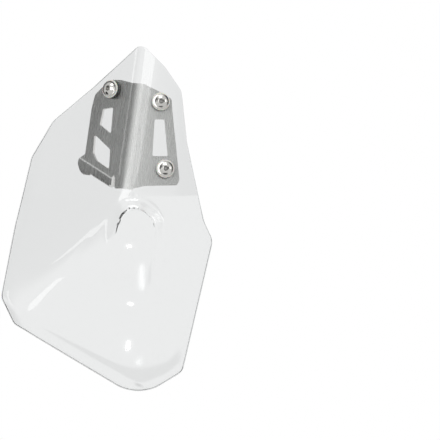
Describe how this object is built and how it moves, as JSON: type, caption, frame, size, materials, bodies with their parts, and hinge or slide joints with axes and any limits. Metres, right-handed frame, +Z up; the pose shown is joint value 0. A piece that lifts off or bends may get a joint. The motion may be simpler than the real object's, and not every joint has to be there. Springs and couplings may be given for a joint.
{
  "type": "motorcycle hand guard",
  "caption": "Left hand guard of a motorcycle: a clear formed shield with a lever bulge and folded-back rims, screwed to a folded steel bracket with a rear mounting tab.",
  "frame": {"origin": "centre of the bolt hole in the bracket's rear tab", "axes": "+Z up towards the shield's tip, +Y to the rear towards the rider's hand, +X to the right as seen from the front"},
  "size_m": [0.1796, 0.0727, 0.2933],
  "materials": {
    "clear_sheet": "clear, glossy, thermoformed",
    "bracket_steel": "brushed along the bend",
    "screw_steel": "polished stainless",
    "nylon": "translucent nylon",
    "rubber": "matt",
    "washer_steel": "turned, satin",
    "nut_steel": "plain stainless"
  },
  "bodies": {
    "root": {"shield": "clear_sheet", "bracket": "bracket_steel", "screw_upper_left": "screw_steel", "screw_upper_right": "screw_steel", "screw_lower_right": "screw_steel", "head_washer_upper_left": "nylon", "head_washer_upper_right": "nylon", "head_washer_lower_right": "nylon", "spacer_upper_left": "rubber", "spacer_upper_right": "rubber", "spacer_lower_right": "rubber", "washer_upper_left": "washer_steel", "washer_upper_right": "washer_steel", "washer_lower_right": "washer_steel", "nut_upper_left": "nut_steel", "nut_upper_right": "nut_steel", "nut_lower_right": "nut_steel"}
  },
  "joints": []
}
